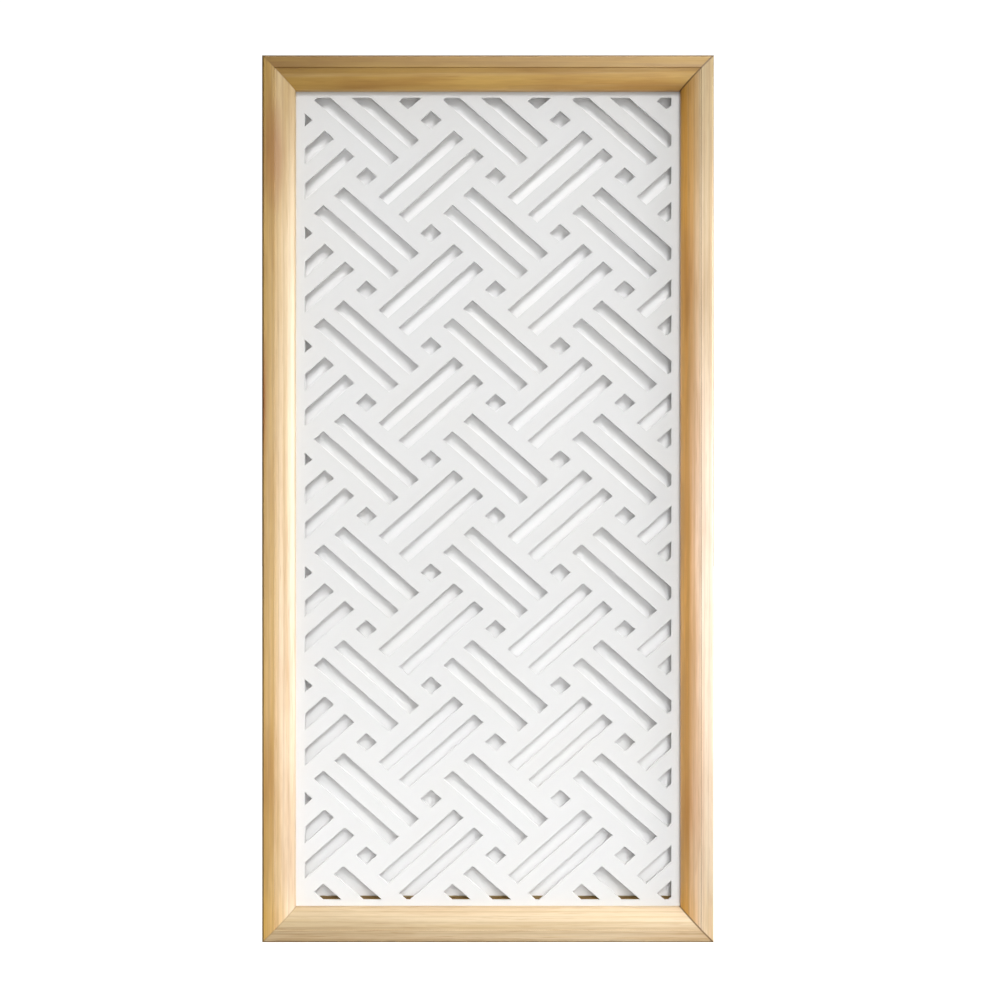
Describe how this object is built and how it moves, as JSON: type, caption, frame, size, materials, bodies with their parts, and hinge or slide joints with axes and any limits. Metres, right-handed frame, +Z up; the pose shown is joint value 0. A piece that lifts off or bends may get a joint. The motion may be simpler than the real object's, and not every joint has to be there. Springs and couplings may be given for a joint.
{
  "type": "decorative screen panel",
  "caption": "Tall rectangular screen panel: a mitred pine moulding frames a white diagonal basket-weave lattice, with a white sheet set close behind it.",
  "frame": {"origin": "under the middle of the panel, on the plane of its bottom edge", "axes": "+Z up along the stiles, +X to the right seen from the front, +Y from the front to the back"},
  "size_m": [0.6, 0.04, 1.178],
  "materials": {
    "pine_moulding": "satin lacquer",
    "bare_pine": "raw",
    "beech": "raw",
    "white_lattice": "satin white lacquer on fibreboard",
    "white_backing": "white-faced fibreboard",
    "zinc_steel": "zinc plated"
  },
  "bodies": {
    "root": {"frame_left_stile": "pine_moulding", "frame_right_stile": "pine_moulding", "frame_top_rail": "pine_moulding", "frame_bottom_rail": "pine_moulding", "spacer_bottom": "bare_pine", "spacer_top": "bare_pine", "spacer_left": "bare_pine", "spacer_right": "bare_pine", "biscuit_bottom_left": "beech", "biscuit_bottom_right": "beech", "biscuit_top_left": "beech", "biscuit_top_right": "beech", "lattice_sheet": "white_lattice", "backing_sheet": "white_backing", "backing_screws": "zinc_steel"}
  },
  "joints": []
}
